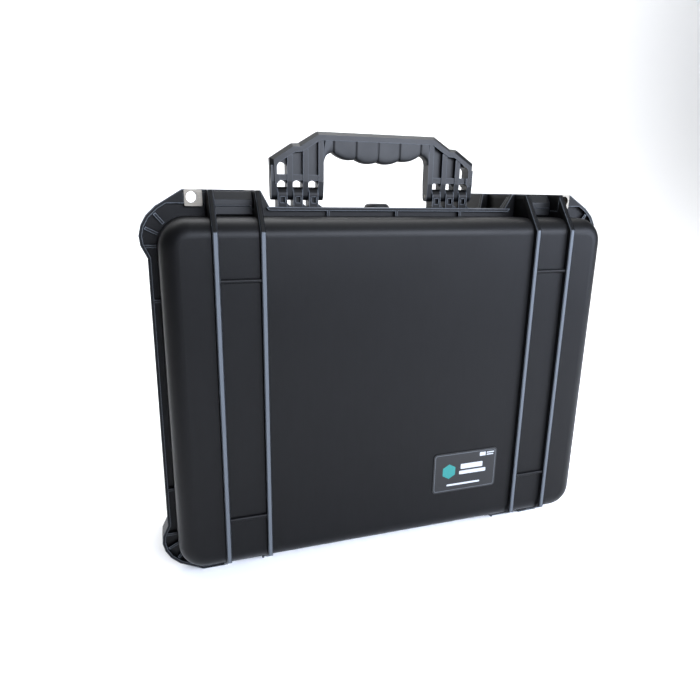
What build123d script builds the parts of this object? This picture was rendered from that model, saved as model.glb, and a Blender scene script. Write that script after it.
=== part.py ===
"""Hard protective equipment case, standing on its hinge side with the handle up.

X runs across the case, Y from the lid (-Y) to the base (+Y), and Z up. The origin is the middle
of the footprint. The lid and the base meet at the parting plane, which faces -Y.
"""
import math
import os

from build123d import *

os.makedirs("parts", exist_ok=True)

# Overall form
overall_width = 503.0  # ear tip to ear tip
overall_depth = 188.0  # rib crest to rib crest
overall_height = 400.4  # foot to tower top, without the handle
parting_y = -42.5  # where the lid meets the base
rib_height = 4.7  # rib crest above the flat faces

# Moulded walls
ear_reach = 15.5  # ear tip beyond the wall
tower_height = 23.7  # tower top beyond the wall
wall_corner_radius = 27.0
wall_draft = 1.0  # degrees
wall = 4.6
face_rounding = 17.0
cavity_rounding = 12.0

# Flange around the parting plane
rim_depth = 10.0  # rim's front edge from the parting plane, on each half
web_depth = 5.5  # solid part of the flange, next to the parting plane
lip = 3.0  # rim that stands out from the web
side_rim_width = 9.0
top_rim_width = 8.2
tower_lead = 6.2  # tower's inner corner beyond the inner rib
tower_slope = 8.5
foot_step = 3.0  # flange's lower edge above the feet
ear_outline = [  # in from the ear tip, and down from the tower top
    (40.2, 0.0), (16.3, 14.8), (7.1, 23.6), (2.2, 32.4), (0.0, 41.3), (0.9, 50.2), (3.1, 54.8),
]
ear_root = 62.0
ear_webs = [  # both ends of each web on an ear, measured the same way
    ((15.0, 21.7), (22.5, 30.7)),
    ((6.0, 34.4), (19.5, 41.2)),
    ((4.0, 51.0), (19.5, 51.0)),
]
side_web_share = 0.49  # of the mid height
rim_webs = (73.0, 0.0)
gusset_wall = 2.6
gusset_step = 0.6  # webs end short of the rim's front edge

# Ribs that run over the faces, two pairs on each half
rib_thickness = 4.2
rib_flare = 1.1  # added on each side where a rib meets the face
rib_inner_x = 145.2
rib_outer_x = 187.5
rib_bend = 36.5  # height of the bends above the feet and below the tower top
rib_shoulder = 27.0  # how far the bend's slope runs in from the crest
rib_edge_round = 1.0
lid_foot_rise = 33.0  # lid's ribs end this far above the feet
lid_foot_step = 4.6
cross_rib_z = 79.5
cross_rib_height = 2.8
cross_rib_thickness = 4.0
latch_swing = 26.0  # room in front of the parting plane for the hooks as they open

# Gaps
moving_gap = 0.4
pin_clearance = 0.05

# Seal, in a groove in the lid, and the tongue on the base that presses on it
groove_out = 2.3  # middle of the groove beyond the wall
groove_width = 4.6
groove_depth = 3.8
seal_width = 3.8
seal_height = 2.6
seal_round_share = 0.42
tongue_width = 3.4
tongue_height = 0.9

# Hinge
hinge_pin_radius = 2.4
hinge_eye_wall = 2.6
hinge_knuckles = 5
hinge_relief = 3.2  # base's feet stand back this far, so that the lid can swing past them
hinge_relief_rise = 0.6
hinge_bay_rise = 6.7  # bay floors beyond the wall

# Latches
lever_pivot_back = 24.5  # from the parting plane
lever_pivot_rise = 11.3  # above the wall
link_back, link_rise = 8.0, 6.0  # from the lever's pivot to the hook's
latch_side_gap = 0.5
pin_chamfer_share = 0.2  # of a pin's radius
lever_barrel_radius = 3.8
hook_barrel_radius = 3.4
latch_pin_radius = 1.8
latch_pin_seat = 0.8  # share of the rib on either side that holds the pin
link_ear = 5.0
latch_front = 10.5  # nose's front face from the parting plane
nose_thickness = 4.6
nose_foot_rise = 0.7
latch_top_drop = 1.4
latch_bevel = (6.0, 7.5)
latch_front_round = 1.2
latch_ridge_radius = 0.8
latch_ridge_drop = 13.0
latch_ridge_inset = 1.8  # at either end
lever_reach = 23.0  # pull plate's end beyond the lever's pivot
lever_plate = 4.0
lever_plate_start = 8.0
lever_end_radius = 3.0
lever_skirt = 2.6
hook_plate = 4.4
hook_shoulder = 6.0
lever_room = 2.5

# Guard walls behind the latches
guard_back = 50.5  # from the parting plane
guard_thickness = 5.0
guard_slant = 4.0

# Padlock guards
plate = 1.2
guard_plate_inner = 17.5  # from the tower's outer corner
guard_plate_outer = 1.5
guard_plate_height = 14.9
guard_plate_radius = 1.5
padlock_in = 8.4
padlock_drop = 6.9
padlock_hole_radius = 5.2
eyelet_wall = 1.2
pad_depth_step = 0.6
ear_pad_height = 12.5  # solid top of each ear

# Handle
handle_back = 54.5  # pivot from the parting plane
handle_pivot_drop = 4.2
handle_depth = 16.0
leg_inner_x = 61.3
leg_outer_x = 118.0
handle_outline = [  # half of the top outline: X, and height above the pivot
    (119.0, 36.8), (95.7, 51.8), (88.0, 52.3), (67.8, 64.5),
]
leg_foot_rise = 11.0
band = 9.0  # bevelled band along the top outline
handle_bevel = 4.5  # across the band
handle_bevel_depth = 3.6  # along the handle's depth
foot_zone = 22.0  # above the pivot, where the legs have no bottom band
handle_web = 5.0  # thin wall between the fingers
finger_step = 0.8  # fingers stand back from the band's faces
finger_width = 6.0
fingers = 4
finger_eye_radius = 5.7
window_high = 14.6  # above the pivot
cross_bar_high = 20.6
upper_window_high = 32.8
knuckle_radius = 8.0
knuckle_gap = 0.35
knuckle_foot = 7.0
knuckle_foot_rise = 6.0
knuckle_foot_half = 5.0
knuckle_swing = 8.6
knuckle_hollow = 3.4
knuckle_hollow_height = 6.0
handle_pin_radius = 2.2
grip_depth = 15.0
grip_end_rise = 42.7  # above the pivot, beside the legs
grip_low_rise = 34.6
grip_waves = 4
grip_wave = 25.4
grip_corner = 9.5
grip_corner_arc = 10.9  # its radius
grip_side_gap = 0.05

# Pressure valve
valve_back = 47.5
valve_cap_radius = 14.0
valve_cap_rise = 11.2
valve_cap_rounding = 5.0
valve_cap_wall = 2.4
valve_cap_lift = 0.3
valve_stem_radius = 8.0
valve_stem_length = 15.5
valve_reach = 31.0  # tools for the bores, to either side
valve_stem_clearance = 0.2
valve_flange_radius = 11.0
valve_flange = 2.0
valve_nut_radius = 11.5
valve_nut_height = 5.0
valve_nut_gap = 1.5
valve_bore_radius = 3.0
valve_seat_radius = 12.5
valve_seat_height = 2.0
valve_seal_radius = 10.5
valve_seal_height = 1.6
valve_disc_radius = 7.0
valve_disc_height = 0.4

# Foam and the pocket cut in it
foam_gap = 1.0
floor_gap = 0.4
foam_side_gap = 8.0  # the walls draft in towards the floor
pad_thickness = 12.0
pad_rounding = 11.0
lid_foam_thickness = 36.0
pocket_width = 320.0
pocket_height = 220.0
pocket_depth = 90.0
pocket_radius = 8.0

# Label
label_width = 80.0
label_height = 48.0
label_x = 80.0
label_z = 96.0
label_radius = 4.0
label_thickness = 0.8

# How far shapes are sunk into, or cut past, their neighbours so that they join or open cleanly
overlap = 1.0

# Places worked out from the sizes above
half_width = overall_width / 2
mid_height = overall_height / 2
lid_crest_y = -overall_depth / 2
base_crest_y = overall_depth / 2
lid_face_y = lid_crest_y + rib_height
base_face_y = base_crest_y - rib_height
wall_half_width = half_width - ear_reach
wall_half_height = mid_height - tower_height
wall_top_z = mid_height + wall_half_height
side_rim_u = wall_half_width + side_rim_width
top_rim_v = wall_half_height + top_rim_width
tower_inner_u = rib_inner_x - tower_lead
tower_outer_u = half_width - ear_outline[0][0]
bay_floor_v = wall_half_height + hinge_bay_rise
bay_middle = (rib_inner_x + rib_outer_x) / 2
bay_half = (rib_outer_x - rib_inner_x - rib_thickness) / 2
groove_u = wall_half_width + groove_out
groove_v = wall_half_height + groove_out
groove_radius = wall_corner_radius + groove_out
hinge_knuckle_radius = hinge_pin_radius + hinge_eye_wall
hinge_axis = (parting_y, hinge_knuckle_radius)  # Y, Z
hinge_bore = hinge_pin_radius + pin_clearance
lever_pivot = (parting_y + lever_pivot_back, wall_top_z + lever_pivot_rise)
link_pivot = (lever_pivot[0] + link_back, lever_pivot[1] + link_rise)
latch_half = bay_half - latch_side_gap
latch_bore = latch_pin_radius + pin_clearance
latch_pin_length = 2 * (bay_half + latch_pin_seat * rib_thickness)
latch_end_y = parting_y - latch_front
latch_top_z = overall_height - latch_top_drop
catch_y = latch_end_y + nose_thickness + moving_gap
nose_foot_z = wall_top_z + nose_foot_rise
lever_clear_y = lever_pivot[0] - lever_barrel_radius - lever_room
guard_y = parting_y + guard_back
guard_inner_u = (leg_outer_x + rib_inner_x) / 2
padlock_x = tower_outer_u - padlock_in
padlock_z = overall_height - padlock_drop
padlock_bore = padlock_hole_radius + eyelet_wall + pin_clearance
handle_pivot = (parting_y + handle_back, overall_height - handle_pivot_drop)
pivot_y, pivot_z = handle_pivot
handle_bore = handle_pin_radius + pin_clearance
handle_pin_middle = (leg_inner_x + leg_outer_x) / 2
handle_pin_length = leg_outer_x - leg_inner_x
finger_pitch = (leg_outer_x - leg_inner_x - finger_width) / (fingers - 1)
finger_gap = finger_pitch - finger_width
finger_centres = [leg_inner_x + finger_width / 2 + n * finger_pitch for n in range(fingers)]
knuckle_centres = [x + finger_pitch / 2 for x in finger_centres[:-1]]
knuckle_width = finger_gap - 2 * knuckle_gap
bar_underside_z = pivot_z + handle_outline[-1][1] - band
valve_y = parting_y + valve_back
valve_seat_z = wall_top_z + valve_seat_height
valve_flange_z = valve_seat_z + valve_seal_height
valve_disc_z = valve_flange_z + valve_flange
base_floor_y = base_face_y - wall - floor_gap
lid_floor_y = lid_face_y + wall + floor_gap
foam_half_u = wall_half_width - wall - foam_side_gap
foam_half_v = wall_half_height - wall - foam_side_gap
foam_radius = wall_corner_radius - wall
sides = {"left": -1, "right": 1}


def lid_plane(y):
    """Upright plane at y that faces the lid's side, with its origin at the case's mid height."""
    return Plane(origin=(0, y, mid_height), x_dir=(1, 0, 0), z_dir=(0, -1, 0))


def base_plane(y):
    """Upright plane at y that faces the base's side."""
    return Plane(origin=(0, y, mid_height), x_dir=(1, 0, 0), z_dir=(0, 1, 0))


def side_plane(x, way=1):
    """Plane across the case at x, facing way along X: its own axes are Y and, for 1, Z."""
    return Plane(origin=(x, 0, 0), x_dir=(0, 1, 0), z_dir=(way, 0, 0))


def front_plane(x, y):
    """Upright plane at y that faces -Y, with its origin at x on the ground."""
    return Plane(origin=(x, y, 0), x_dir=(1, 0, 0), z_dir=(0, -1, 0))


def block(low, high):
    """A box given by its two corners, as a tool."""
    size = [b - a for a, b in zip(low, high)]
    return Pos(*[(a + b) / 2 for a, b in zip(low, high)]) * Box(*size, mode=Mode.PRIVATE)


def bar_x(x, width, centre, radius):
    """Round bar along X, centred at x on an axis given by its Y and Z, as a tool."""
    return Pos(x, *centre) * Rot(0, 90, 0) * Cylinder(radius, width, mode=Mode.PRIVATE)


def padlock_hole(side, radius):
    """Round bar along Y through the pads of both halves, as a tool."""
    reach = 2 * rim_depth + wall_corner_radius
    hole = Cylinder(radius, reach, mode=Mode.PRIVATE)
    return Pos(side * padlock_x, parting_y, padlock_z) * Rot(90, 0, 0) * hole


def finish(part, name):
    part.label = name
    export_step(part, f"parts/{name}.step")


def ear_point(point):
    """Turn a distance in from the ear tip and down from the tower top into u and v."""
    return half_width - point[0], mid_height - point[1]


def flange_loop():
    """Corners of the flange's outline, from the half above mid height that the other mirrors."""
    upper = [(tower_inner_u - tower_slope, top_rim_v), (tower_inner_u, mid_height)]
    upper += [ear_point(point) for point in ear_outline]
    upper.append((side_rim_u, mid_height - ear_root))
    foot_v = mid_height - foot_step
    lower = [(u, -min(v, foot_v)) for u, v in reversed(upper)]
    right = upper + lower
    return right + [(-u, v) for u, v in reversed(right)]


def gussets():
    """Ends of the webs across the flange's recess, as (u, v) pairs for one quarter."""
    ears = [(ear_point(start), ear_point(end)) for start, end in ear_webs]
    side_v = side_web_share * mid_height
    side_web = ((side_rim_u - overlap, side_v), (wall_half_width - overlap, side_v))
    rim = [((u, top_rim_v - overlap), (u, wall_half_height - overlap)) for u in rim_webs]
    return ears + [side_web] + rim


# Walls of one half, from the parting plane to its face, and the cavity inside them
def half_wall(plane, depth, inset, rounding):
    with BuildPart() as form:
        with BuildSketch(plane):
            RectangleRounded(
                2 * (wall_half_width - inset),
                2 * (wall_half_height - inset),
                wall_corner_radius - inset,
            )
        extrude(amount=depth - inset, taper=wall_draft)
        face = form.faces().sort_by(Axis(plane.origin, plane.z_dir))[-1]
        fillet(face.edges(), rounding)
    return form.part


# Flange of one half: the web, its lip, the gussets between the lip and the wall, and padlock pads
def flange(plane):
    with BuildPart() as form:
        with BuildSketch(plane):
            Polygon(*flange_loop(), align=None)
        extrude(amount=web_depth)
        with BuildSketch(plane.offset(web_depth)):
            Polygon(*flange_loop(), align=None)
            offset(amount=-lip, mode=Mode.SUBTRACT)
        extrude(amount=rim_depth - web_depth)
        with BuildSketch(plane.offset(web_depth)):
            for start, end in gussets():
                for mirror_u in (1, -1):
                    for mirror_v in (1, -1):
                        with BuildLine():
                            Line(
                                (start[0] * mirror_u, start[1] * mirror_v),
                                (end[0] * mirror_u, end[1] * mirror_v),
                            )
                        trace(line_width=gusset_wall)
        extrude(amount=rim_depth - web_depth - gusset_step)
        pad_outer = tower_outer_u - guard_plate_outer + moving_gap
        foot_v = mid_height - foot_step
        pad_v = wall_half_height - wall
        with BuildSketch(plane.offset(web_depth)):
            for side in (-1, 1):
                for low, high in ((mid_height - ear_pad_height, mid_height), (-foot_v, -pad_v)):
                    with Locations((side * (rib_outer_x + pad_outer) / 2, (low + high) / 2)):
                        Rectangle(pad_outer - rib_outer_x, high - low)
        extrude(amount=rim_depth - web_depth - pad_depth_step)
        with BuildSketch(plane.offset(web_depth)):
            for side in (-1, 1):
                with Locations((side * (pad_outer + half_width) / 2, mid_height - ear_pad_height / 2)):
                    Rectangle(half_width - pad_outer, ear_pad_height)
            Polygon(*flange_loop(), align=None, mode=Mode.INTERSECT)
        extrude(amount=rim_depth - web_depth)
        # The rim keeps its height up to the inner ribs: only the web rises to the towers there
        for end in (-1, 1):
            with BuildSketch(plane.offset(web_depth)):
                with Locations((0, end * (top_rim_v + tower_height / 2))):
                    Rectangle(2 * rib_inner_x, tower_height)
            extrude(amount=rim_depth, mode=Mode.SUBTRACT)
    return form.part


# One rib: a bar with a rounded crest that widens towards the face it stands on
def rib(x, profile):
    flare_angle = math.degrees(math.atan2(rib_height, rib_flare))
    with BuildPart() as form:
        with BuildSketch(side_plane(x)):
            Polygon(*profile, align=None)
        extrude(amount=rib_thickness / 2, both=True)
        crest = form.edges().filter_by(Axis.X, reverse=True).filter_by(
            lambda e: abs(e.center().Y - parting_y) > rim_depth
        )
        fillet(crest, rib_edge_round)
        for way in (1, -1):
            with BuildSketch(side_plane(x + way * rib_thickness / 2, way)):
                Polygon(*[(y, way * z) for y, z in profile], align=None)
            extrude(amount=rib_flare, taper=flare_angle)
    return form.part


def rib_profile(crest_y, out):
    """out is -1 on the lid and 1 on the base: the way from the parting plane to the face."""
    shoulder_y = crest_y - out * rib_shoulder
    if out < 0:
        foot = [
            (parting_y, lid_foot_step),
            (parting_y - rim_depth, lid_foot_step),
            (crest_y, lid_foot_rise),
        ]
    else:
        foot = [(parting_y, 0), (shoulder_y, 0), (crest_y, rib_bend)]
    top = [
        (crest_y, overall_height - rib_bend),
        (shoulder_y, overall_height),
        (parting_y, overall_height),
    ]
    return foot + top


def cross_ribs(crest_y, out):
    """Short round-topped ribs between each pair, as tools."""
    radius = cross_rib_thickness / 2
    top_y = crest_y - out * (rib_height - cross_rib_height + radius)
    near, far = sorted((top_y, top_y - out * 2 * rib_height))
    width = rib_outer_x - rib_inner_x
    bars = []
    for side in (-1, 1):
        for z in (cross_rib_z, overall_height - cross_rib_z):
            x = side * bay_middle
            bars.append(block((x - width / 2, near, z - radius), (x + width / 2, far, z + radius)))
            bars.append(bar_x(x, width, (top_y, z), radius))
    return bars


def bay_cuts(out, reach):
    """Boxes that open the four bays between the ribs on one half, as tools."""
    near, far = sorted((parting_y, parting_y + out * reach))
    cuts = []
    for x in (-bay_middle, bay_middle):
        for end in (-1, 1):
            low, high = sorted((
                mid_height + end * bay_floor_v,
                mid_height + end * (mid_height + overlap),
            ))
            cuts.append(block((x - bay_half, near, low), (x + bay_half, far, high)))
    return cuts


# Hinge knuckles of one half: every second one in each bay, with its arm to the web
def hinge_eyes(out, first):
    pitch = 2 * bay_half / hinge_knuckles
    width = pitch - moving_gap
    axis_z = hinge_axis[1]
    arm_start = parting_y + out * moving_gap
    arm_top = mid_height - bay_floor_v + overlap
    slots = [(n + 0.5) * pitch - bay_half for n in range(first, hinge_knuckles, 2)]
    with BuildPart() as form:
        for middle in (-bay_middle, bay_middle):
            for slot in slots:
                x = middle + slot
                add(bar_x(x, width, hinge_axis, hinge_knuckle_radius))
                with BuildSketch(side_plane(x)):
                    Polygon(
                        (arm_start, axis_z),
                        (parting_y + out * hinge_knuckle_radius, axis_z),
                        (parting_y + out * web_depth, arm_top),
                        (arm_start, arm_top),
                        align=None,
                    )
                extrude(amount=width / 2, both=True)
    return form.part


def ring_sketch(plane, width):
    """Closed strip of the given width along the seal's line."""
    with BuildSketch(plane) as strip:
        RectangleRounded(2 * groove_u + width, 2 * groove_v + width, groove_radius + width / 2)
        RectangleRounded(2 * groove_u - width, 2 * groove_v - width, groove_radius - width / 2,
                         mode=Mode.SUBTRACT)
    return strip.sketch


lid_depth = parting_y - lid_face_y
lid_pieces = [
    half_wall(lid_plane(parting_y), lid_depth, 0, face_rounding),
    flange(lid_plane(parting_y)),
]
lid_pieces += [
    rib(side * x, rib_profile(lid_crest_y, -1))
    for side in (-1, 1) for x in (rib_inner_x, rib_outer_x)
]
lid_eyes = hinge_eyes(-1, 1)
lid_cavity = half_wall(lid_plane(parting_y + overlap), lid_depth + overlap, wall, cavity_rounding)
groove = extrude(ring_sketch(lid_plane(parting_y + overlap), groove_width), groove_depth + overlap)
with BuildPart() as lid_shell:
    for piece in lid_pieces + cross_ribs(lid_crest_y, -1):
        add(piece)
    for cut in bay_cuts(-1, latch_swing):
        add(cut, mode=Mode.SUBTRACT)
    # The rim stands back in each latch bay, so that the hook's nose can catch on the web
    for x in (-bay_middle, bay_middle):
        add(block((x - bay_half, parting_y - rim_depth - lip, nose_foot_z - moving_gap),
                  (x + bay_half, catch_y, overall_height + overlap)), mode=Mode.SUBTRACT)
    add(lid_eyes)
    add(lid_cavity, mode=Mode.SUBTRACT)
    add(groove, mode=Mode.SUBTRACT)
    for side in (-1, 1):
        add(bar_x(side * bay_middle, 2 * bay_half, hinge_axis, hinge_bore), mode=Mode.SUBTRACT)
        add(padlock_hole(side, padlock_bore), mode=Mode.SUBTRACT)
finish(lid_shell.part, "lid_shell")


# Guard wall behind each latch, from the rib outside it to past the rib inside it
def guard_wall(side):
    root_z = wall_top_z - wall
    with BuildPart() as form:
        with BuildSketch(front_plane(0, guard_y + guard_thickness)):
            Polygon(
                (side * guard_inner_u, root_z),
                (side * (guard_inner_u + guard_slant), overall_height),
                (side * rib_outer_x, overall_height),
                (side * rib_outer_x, root_z),
                align=None,
            )
        extrude(amount=guard_thickness)
    return form.part


# Handle knuckle: a hollow-fronted post round the pivot, with a foot that slopes to its right
def handle_knuckle(x):
    half = knuckle_width / 2
    root_z = wall_top_z - wall / 2
    front_y = pivot_y - knuckle_radius
    hollow_top = pivot_z - handle_pin_radius
    with BuildPart() as form:
        add(bar_x(x, knuckle_width, handle_pivot, knuckle_radius))
        add(block((x - half, front_y, root_z), (x + half, pivot_y + knuckle_radius, pivot_z)))
        with BuildSketch(front_plane(x, pivot_y)):
            Polygon(
                (0, root_z),
                (half, pivot_z - knuckle_swing),
                (half + knuckle_foot, wall_top_z + knuckle_foot_rise),
                (half + knuckle_foot, root_z),
                align=None,
            )
        extrude(amount=knuckle_foot_half, both=True)
        add(block((x - half / 2, front_y - overlap, hollow_top - knuckle_hollow_height),
                  (x + half / 2, front_y + knuckle_hollow, hollow_top)), mode=Mode.SUBTRACT)
    return form.part


# Base: deeper, with the tongue, the latches' pivots, guard walls, handle knuckles and valve seat
base_depth = base_face_y - parting_y
base_pieces = [
    half_wall(base_plane(parting_y), base_depth, 0, face_rounding),
    flange(base_plane(parting_y)),
]
base_pieces += [
    rib(side * x, rib_profile(base_crest_y, 1))
    for side in (-1, 1) for x in (rib_inner_x, rib_outer_x)
]
base_extras = [hinge_eyes(1, 0), guard_wall(-1), guard_wall(1)]
base_extras += [handle_knuckle(side * x) for side in (-1, 1) for x in knuckle_centres]
base_cavity = half_wall(base_plane(parting_y - overlap), base_depth + overlap, wall,
                        cavity_rounding)
tongue = extrude(ring_sketch(lid_plane(parting_y + overlap), tongue_width),
                 tongue_height + overlap)
with BuildPart() as base_shell:
    for piece in base_pieces + cross_ribs(base_crest_y, 1):
        add(piece)
    for cut in bay_cuts(1, guard_back):
        add(cut, mode=Mode.SUBTRACT)
    add(block((-half_width, parting_y - overlap, -overlap),
              (half_width, parting_y + hinge_relief, hinge_axis[1] + hinge_relief_rise)),
        mode=Mode.SUBTRACT)
    for piece in base_extras:
        add(piece)
    with Locations((0, valve_y, valve_seat_z)):
        Cylinder(valve_seat_radius, valve_seat_height + wall / 2,
                 align=(Align.CENTER, Align.CENTER, Align.MAX))
    add(base_cavity, mode=Mode.SUBTRACT)
    add(tongue)
    for side in (-1, 1):
        x = side * bay_middle
        add(bar_x(x, 2 * bay_half, hinge_axis, hinge_bore), mode=Mode.SUBTRACT)
        add(bar_x(x, latch_pin_length, lever_pivot, latch_bore), mode=Mode.SUBTRACT)
        add(bar_x(side * handle_pin_middle, handle_pin_length, handle_pivot, handle_bore),
            mode=Mode.SUBTRACT)
        add(padlock_hole(side, padlock_bore), mode=Mode.SUBTRACT)
    with Locations((0, valve_y, wall_top_z)):
        Cylinder(valve_stem_radius + valve_stem_clearance, 2 * valve_reach,
                 mode=Mode.SUBTRACT)
finish(base_shell.part, "base_shell")


# Seal: a rounded cord lying at the bottom of the lid's groove
cord = extrude(ring_sketch(lid_plane(parting_y - groove_depth + seal_height), seal_width),
               seal_height)
with BuildPart() as lid_seal:
    add(cord)
    fillet(lid_seal.edges(), seal_height * seal_round_share)
finish(lid_seal.part, "lid_seal")


# Pins: hinge, latch, link and handle, one of each on either side
pins = {
    "hinge_pin": (bay_middle, 2 * bay_half, hinge_axis, hinge_pin_radius),
    "latch_pivot_pin": (bay_middle, latch_pin_length, lever_pivot, latch_pin_radius),
    "latch_link_pin": (bay_middle, 2 * latch_half, link_pivot, latch_pin_radius),
    "handle_pin": (handle_pin_middle, handle_pin_length, handle_pivot, handle_pin_radius),
}
for pin_name, (middle, length, axis_at, radius) in pins.items():
    for side_name, side in sides.items():
        with BuildPart() as pin:
            add(bar_x(side * middle, length, axis_at, radius))
            chamfer(pin.edges().filter_by(GeomType.CIRCLE), radius * pin_chamfer_share)
        finish(pin.part, f"{pin_name}_{side_name}")


# Padlock guards: a steel plate with an eyelet through each half's pad
def padlock_guard(side, out):
    """out is -1 on the lid and 1 on the base."""
    inner_u = tower_outer_u - guard_plate_inner
    outer_u = tower_outer_u - guard_plate_outer
    with BuildPart() as guard:
        with BuildSketch(lid_plane(parting_y + out * rim_depth)):
            with Locations((side * (inner_u + outer_u) / 2, mid_height - guard_plate_height / 2)):
                RectangleRounded(outer_u - inner_u, guard_plate_height, guard_plate_radius)
        extrude(amount=-out * plate)
        with BuildSketch(lid_plane(parting_y + out * moving_gap)):
            with Locations((side * padlock_x, padlock_z - mid_height)):
                Circle(padlock_hole_radius + eyelet_wall)
        extrude(amount=-out * (rim_depth + plate - moving_gap))
        add(padlock_hole(side, padlock_hole_radius), mode=Mode.SUBTRACT)
    return guard.part


for side_name, side in sides.items():
    for half, out in (("lid", -1), ("base", 1)):
        finish(padlock_guard(side, out), f"{half}_padlock_guard_{side_name}")


# Latch lever: barrel on the base's pin, two ears that carry the link pin, and the pull plate
def latch_lever(side):
    x = side * bay_middle
    end_y = lever_pivot[0] + lever_reach
    plate_z = latch_top_z - overlap
    plate_low_z = plate_z - lever_plate
    skirt_z = lever_pivot[1] - lever_skirt
    start_y = link_pivot[0] + lever_plate_start
    edge = lever_end_radius / 2
    with BuildPart() as lever:
        add(bar_x(x, 2 * latch_half, lever_pivot, lever_barrel_radius))
        for ear in (-1, 1):
            with BuildSketch(side_plane(x + ear * (latch_half - link_ear / 2))):
                with Locations(lever_pivot):
                    Circle(lever_barrel_radius)
                with Locations(link_pivot):
                    Circle(hook_barrel_radius)
                with Locations((end_y - lever_end_radius, plate_z - lever_end_radius)):
                    Circle(lever_end_radius)
                with Locations((end_y - lever_end_radius, skirt_z + lever_end_radius)):
                    Circle(lever_end_radius)
                make_hull()
            extrude(amount=link_ear / 2, both=True)
        with BuildSketch(side_plane(x)):
            Polygon(
                (start_y, plate_z),
                (end_y - edge, plate_z),
                (end_y, plate_z - edge),
                (end_y, skirt_z),
                (end_y - lever_skirt, skirt_z),
                (end_y - lever_skirt, plate_low_z),
                (start_y, plate_low_z),
                align=None,
            )
        extrude(amount=latch_half, both=True)
        for pivot in (lever_pivot, link_pivot):
            add(bar_x(x, 3 * latch_half, pivot, latch_bore), mode=Mode.SUBTRACT)
    return lever.part


# Latch hook: barrel between the lever's ears, arm over the flange, and nose in front of the web
def latch_hook(side):
    x = side * bay_middle
    link_y, link_z = link_pivot
    arm_half = latch_half - link_ear - moving_gap
    arm_top = link_z + hook_barrel_radius
    arm_low = arm_top - hook_plate
    nose_back_y = catch_y - moving_gap
    bevel_back, bevel_drop = latch_bevel
    with BuildPart() as hook:
        add(bar_x(x, 2 * arm_half, link_pivot, hook_barrel_radius))
        with BuildSketch(side_plane(x)):
            Polygon(
                (link_y, arm_top),
                (lever_clear_y, arm_top),
                (lever_clear_y, arm_low),
                (link_y, arm_low),
                align=None,
            )
        extrude(amount=arm_half, both=True)
        with BuildSketch(side_plane(x)):
            Polygon(
                (lever_clear_y, arm_low),
                (lever_clear_y, arm_top),
                (lever_clear_y - hook_shoulder, latch_top_z),
                (latch_end_y + bevel_back, latch_top_z),
                (latch_end_y, latch_top_z - bevel_drop),
                (latch_end_y, nose_foot_z),
                (nose_back_y, nose_foot_z),
                (nose_back_y, arm_low - nose_thickness / 2),
                (nose_back_y + nose_thickness, arm_low),
                align=None,
            )
        extrude(amount=latch_half, both=True)
        fillet(hook.edges().filter_by(Axis.X).group_by(Axis.Y)[0], latch_front_round)
        ridge_at = (latch_end_y, latch_top_z - latch_ridge_drop)
        add(bar_x(x, 2 * (latch_half - latch_ridge_inset), ridge_at, latch_ridge_radius))
        add(bar_x(x, 3 * latch_half, link_pivot, latch_bore), mode=Mode.SUBTRACT)
    return hook.part


for side_name, side in sides.items():
    finish(latch_lever(side), f"latch_lever_{side_name}")
    finish(latch_hook(side), f"latch_hook_{side_name}")


# Handle: a bevelled band over the top, a thin wall below it on each leg, and the fingers
def handle_band():
    half_outline = [(leg_outer_x, leg_foot_rise)] + handle_outline
    right = [(x, pivot_z + rise) for x, rise in half_outline]
    with BuildPart() as form:
        with BuildSketch(front_plane(0, pivot_y)):
            Polygon(*right, *[(-x, z) for x, z in reversed(right)], align=None)
        extrude(amount=handle_depth / 2, both=True)
        outer_z = pivot_z + leg_foot_rise + overlap
        edges = form.edges().filter_by(
            lambda e: abs(abs(e.center().Y - pivot_y) - handle_depth / 2) < overlap / 10
            and e.center().Z > outer_z
        )
        chamfer(edges, handle_bevel, handle_bevel_depth)
        for way in (-1, 1):
            with BuildSketch(front_plane(0, pivot_y + way * handle_web / 2)):
                Polygon(*right, *[(-x, z) for x, z in reversed(right)], align=None)
                offset(amount=-band)
                with Locations((0, pivot_z)):
                    Rectangle(2 * (leg_outer_x - band), 2 * foot_zone)
            extrude(amount=-way * handle_depth, mode=Mode.SUBTRACT)
        with BuildSketch(front_plane(0, pivot_y)):
            with Locations((0, (bar_underside_z + pivot_z) / 2)):
                Rectangle(2 * leg_inner_x, bar_underside_z - pivot_z)
        extrude(amount=handle_depth, both=True, mode=Mode.SUBTRACT)
    return form.part


def arched_gap(x, low, high):
    """Opening with a round top between two fingers, as a tool."""
    radius = finger_gap / 2
    with BuildPart() as form:
        with BuildSketch(front_plane(x, pivot_y)):
            with Locations((0, (low + high - radius) / 2)):
                Rectangle(finger_gap, high - radius - low)
            with Locations((0, high - radius)):
                Ellipse(radius, radius)
        extrude(amount=handle_depth, both=True)
    return form.part


def finger(x, top_z):
    """Upright bar on a leg, with its eye on the pivot."""
    depth = handle_depth - 2 * finger_step
    with BuildPart() as form:
        with BuildSketch(side_plane(x)):
            with Locations(handle_pivot):
                Circle(finger_eye_radius)
            with Locations((pivot_y, pivot_z + window_high)):
                Rectangle(depth, 2 * overlap)
            make_hull()
        extrude(amount=finger_width / 2, both=True)
        add(block((x - finger_width / 2, pivot_y - depth / 2, pivot_z + window_high),
                  (x + finger_width / 2, pivot_y + depth / 2, top_z)))
    return form.part


def outline_height(x):
    """Height of the handle's top outline above the pivot at a distance from the middle."""
    points = sorted(handle_outline)
    for (near_x, near), (far_x, far) in zip(points, points[1:]):
        if x <= far_x:
            share = max(0.0, (x - near_x) / (far_x - near_x))
            return near + share * (far - near)
    return points[-1][1]


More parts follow.
